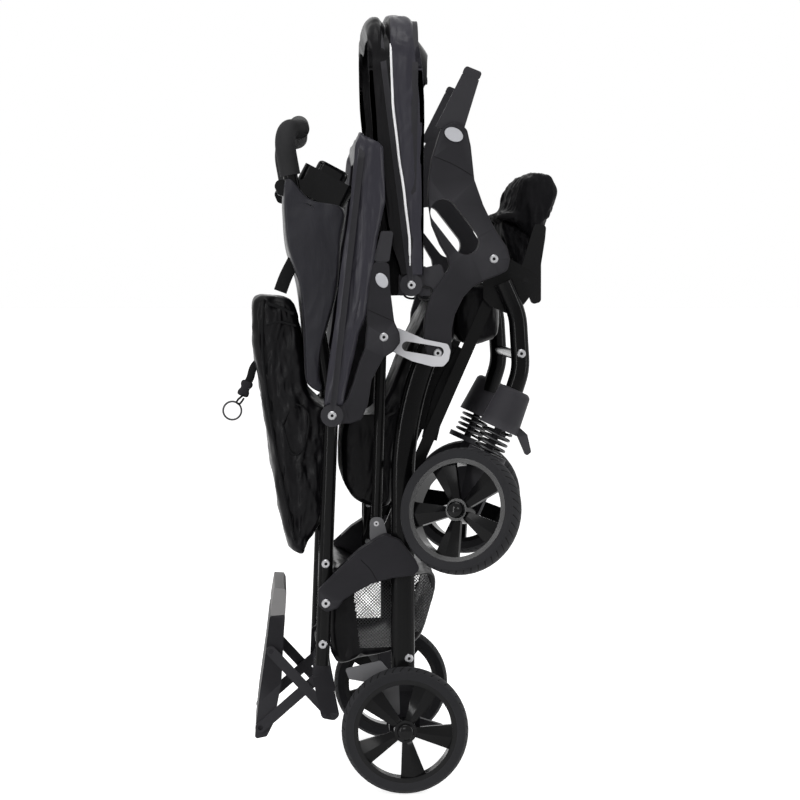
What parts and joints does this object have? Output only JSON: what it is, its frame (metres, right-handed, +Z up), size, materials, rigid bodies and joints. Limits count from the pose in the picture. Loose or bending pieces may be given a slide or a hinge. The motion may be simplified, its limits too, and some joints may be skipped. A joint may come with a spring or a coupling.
{
  "type": "sit and stand stroller",
  "caption": "Folded sit and stand stroller: tube frame with moulded elbows and arms, spoked wheels, sprung casters, folded canopies, handle, tray, basket and standing platform.",
  "frame": {"origin": "under the middle of the folded package's bounding box, on the floor", "axes": "+Z up along the folded length, +X from the platform side to the front wheel side, +Y across to the stroller's left"},
  "size_m": [0.5154, 0.6426, 1.1917],
  "materials": {
    "frame_paint": "satin black powder coat",
    "bar_steel": "plain steel",
    "dark_plastic": "satin moulded nylon",
    "rim_plastic": "satin moulded rim",
    "gloss_dark": "polished moulding",
    "grey_plastic": "light satin grey",
    "boot_grey": "mid grey satin",
    "grey_tread": "grey non slip tread",
    "grey_metal": "grey coated plate",
    "spring_steel": "dark spring wire",
    "screw_steel": "bright fastener",
    "button_silver": "silver metallic",
    "tyre_rubber": "matt dark grey foam tyre",
    "grip_foam": "satin foam grip",
    "pad_vinyl": "soft dark vinyl",
    "canopy_cloth": "light and dark woven polyester",
    "dark_cloth": "dark woven polyester",
    "webbing": "black webbing"
  },
  "bodies": {
    "frame": {"main_tubes": "frame_paint", "elbows": "dark_plastic", "front_arms": "dark_plastic", "seat_posts": "dark_plastic", "canopy_clips": "dark_plastic", "strut_plates": "grey_metal", "axle_blocks": "dark_plastic", "grey_plates": "grey_metal", "rear_axle": "bar_steel", "frame_pins": "screw_steel", "basket": "dark_cloth", "front_seat": "dark_cloth", "front_seat_back": "dark_cloth"},
    "handle": {"handle_legs": "frame_paint", "handle_bar": "bar_steel", "handle_foam": "grip_foam", "parent_tray": "gloss_dark", "handle_pouch": "dark_cloth", "rear_seat_bag": "dark_cloth", "platform_hanger": "dark_plastic", "handle_screws": "screw_steel"},
    "strut": {"struts": "frame_paint", "strut_pins": "screw_steel"},
    "rear_arm": {"rear_arms": "dark_plastic", "rear_arm_pins": "screw_steel"},
    "latch": {"fold_latch": "grey_plastic"},
    "front_leg": {"leg_tubes": "frame_paint", "leg_screws": "screw_steel", "leg_crossbar": "frame_paint", "caster_boots": "boot_grey"},
    "cross_link": {"cross_links": "frame_paint"},
    "rear_wheel_left": {"rear_tyre_left": "tyre_rubber", "rear_rim_left": "rim_plastic"},
    "rear_wheel_right": {"rear_tyre_right": "tyre_rubber", "rear_rim_right": "rim_plastic"},
    "caster_left": {"caster_fork_left": "dark_plastic", "caster_spring_left": "spring_steel"},
    "caster_right": {"caster_fork_right": "dark_plastic", "caster_spring_right": "spring_steel"},
    "front_wheel_left": {"front_tyre_left": "tyre_rubber", "front_rim_left": "rim_plastic"},
    "front_wheel_right": {"front_tyre_right": "tyre_rubber", "front_rim_right": "rim_plastic"},
    "leg_rest": {"leg_rest_pad": "pad_vinyl", "leg_rest_arms": "gloss_dark"},
    "front_canopy": {"front_canopy_bows": "dark_plastic", "front_canopy_cloth": "canopy_cloth"},
    "rear_canopy": {"rear_canopy_bows": "dark_plastic", "rear_canopy_cloth": "canopy_cloth"},
    "platform": {"platform_body": "dark_plastic", "platform_tread": "grey_tread"},
    "outer_arm": {"outer_cross_arms": "dark_plastic"},
    "inner_arm": {"inner_cross_arms": "dark_plastic"},
    "button_left": {"arm_button_left": "button_silver"},
    "button_right": {"arm_button_right": "button_silver"},
    "brake": {"brake_levers": "dark_plastic"},
    "tray_lid": {"tray_lid": "gloss_dark"},
    "tether": {"tether": "webbing"},
    "tether_ring": {"tether_ring": "screw_steel"}
  },
  "joints": [
    {"name": "handle_fold", "type": "hinge", "parent": "frame", "child": "handle", "pos_m": [-0.10085, 0.0122, 0.286], "axis": [0, -1, 0], "range_deg": [0, 66], "deforming": ["basket", "front_seat", "front_seat_back"]},
    {"name": "strut_fold", "type": "hinge", "parent": "frame", "child": "strut", "pos_m": [-0.02285, 0.0122, 0.4035], "axis": [0, -1, 0], "range_deg": [0, 66]},
    {"name": "rear_arm_fold", "type": "hinge", "parent": "handle", "child": "rear_arm", "pos_m": [-0.09185, 0.0122, 0.5725], "axis": [0, -1, 0], "range_deg": [-66, 0]},
    {"name": "front_leg_fold", "type": "hinge", "parent": "frame", "child": "front_leg", "pos_m": [0.15415, 0.0122, 0.8075], "axis": [0, -1, 0], "range_deg": [0, 66]},
    {"name": "cross_link_fold", "type": "hinge", "parent": "front_leg", "child": "cross_link", "pos_m": [0.15265, 0.0122, 0.7475], "axis": [0, -1, 0], "range_deg": [-66, 0]},
    {"name": "rear_left_roll", "type": "hinge", "parent": "frame", "child": "rear_wheel_left", "pos_m": [0.01815, 0.2592, 0.096], "axis": [0, 1, 0], "continuous": true},
    {"name": "rear_right_roll", "type": "hinge", "parent": "frame", "child": "rear_wheel_right", "pos_m": [0.01815, -0.2348, 0.096], "axis": [0, 1, 0], "continuous": true},
    {"name": "left_swivel", "type": "hinge", "parent": "front_leg", "child": "caster_left", "pos_m": [0.15215, 0.2282, 0.529], "axis": [0.4067, 0, 0.9135], "range_deg": [-75, 50]},
    {"name": "right_swivel", "type": "hinge", "parent": "front_leg", "child": "caster_right", "pos_m": [0.15215, -0.2038, 0.529], "axis": [0.4067, 0, 0.9135], "range_deg": [0, 120]},
    {"name": "front_left_roll", "type": "hinge", "parent": "caster_left", "child": "front_wheel_left", "pos_m": [0.14489, 0.26603, 0.40964], "axis": [0.3861, 0.9063, -0.1719], "continuous": true},
    {"name": "front_right_roll", "type": "hinge", "parent": "caster_right", "child": "front_wheel_right", "pos_m": [0.10025, -0.25983, 0.42951], "axis": [-0.4568, -0.866, 0.2034], "continuous": true},
    {"name": "leg_rest_tilt", "type": "hinge", "parent": "front_leg", "child": "leg_rest", "pos_m": [0.20515, 0.0122, 0.776], "axis": [0, 1, 0], "range_deg": [0, 90]},
    {"name": "front_canopy_fold", "type": "hinge", "parent": "frame", "child": "front_canopy", "pos_m": [0.02865, 0.0122, 0.768], "axis": [0, 1, 0], "range_deg": [0, 30], "deforming": ["front_canopy_cloth"]},
    {"name": "rear_canopy_fold", "type": "hinge", "parent": "rear_arm", "child": "rear_canopy", "pos_m": [-0.09185, 0.0122, 0.5725], "axis": [0, -1, 0], "range_deg": [0, 30], "deforming": ["rear_canopy_cloth"]},
    {"name": "platform_fold", "type": "hinge", "parent": "handle", "child": "outer_arm", "pos_m": [-0.09585, 0.0122, 0.105], "axis": [0, -1, 0], "range_deg": [0, 60]},
    {"name": "inner_arm_fold", "type": "hinge", "parent": "handle", "child": "inner_arm", "pos_m": [-0.10585, 0.0122, 0.163], "axis": [0, -1, 0], "range_deg": [0, 48]},
    {"name": "platform_turn", "type": "hinge", "parent": "outer_arm", "child": "platform", "pos_m": [-0.18385, 0.0122, 0.2], "axis": [0, -1, 0], "range_deg": [0, 19.2]},
    {"name": "latch_swing", "type": "hinge", "parent": "rear_arm", "child": "latch", "pos_m": [-0.01385, 0.0122, 0.69], "axis": [0, -1, 0], "range_deg": [0, 40]},
    {"name": "left_button", "type": "slide", "parent": "frame", "child": "button_left", "axis": [0, -1, 0], "range_m": [0, 0.003], "stiffness_N_per_m": 400},
    {"name": "right_button", "type": "slide", "parent": "frame", "child": "button_right", "axis": [0, 1, 0], "range_m": [0, 0.003], "stiffness_N_per_m": 400},
    {"name": "brake_press", "type": "hinge", "parent": "frame", "child": "brake", "pos_m": [0.01815, 0.0122, 0.096], "axis": [0, 1, 0], "range_deg": [0, 12]},
    {"name": "lid_hinge", "type": "hinge", "parent": "handle", "child": "tray_lid", "pos_m": [-0.11535, 0.0122, 0.947], "axis": [0, -1, 0], "range_deg": [0, 60]},
    {"name": "tether_swing", "type": "hinge", "parent": "handle", "child": "tether", "pos_m": [-0.21085, -0.1278, 0.65], "axis": [0, 1, 0], "range_deg": [-2, 35]},
    {"name": "ring_swing", "type": "hinge", "parent": "tether", "child": "tether_ring", "pos_m": [-0.23085, -0.1278, 0.585], "axis": [0, 1, 0], "range_deg": [-20, 6]}
  ],
  "couplings": [
    {"joint": "strut_fold", "follows": "handle_fold", "ratio": 1},
    {"joint": "rear_arm_fold", "follows": "handle_fold", "ratio": -1},
    {"joint": "front_leg_fold", "follows": "handle_fold", "ratio": 1},
    {"joint": "cross_link_fold", "follows": "handle_fold", "ratio": -1},
    {"joint": "rear_canopy_fold", "follows": "handle_fold", "ratio": 0.45},
    {"joint": "inner_arm_fold", "follows": "platform_fold", "ratio": 0.8},
    {"joint": "platform_turn", "follows": "platform_fold", "ratio": 0.32}
  ]
}
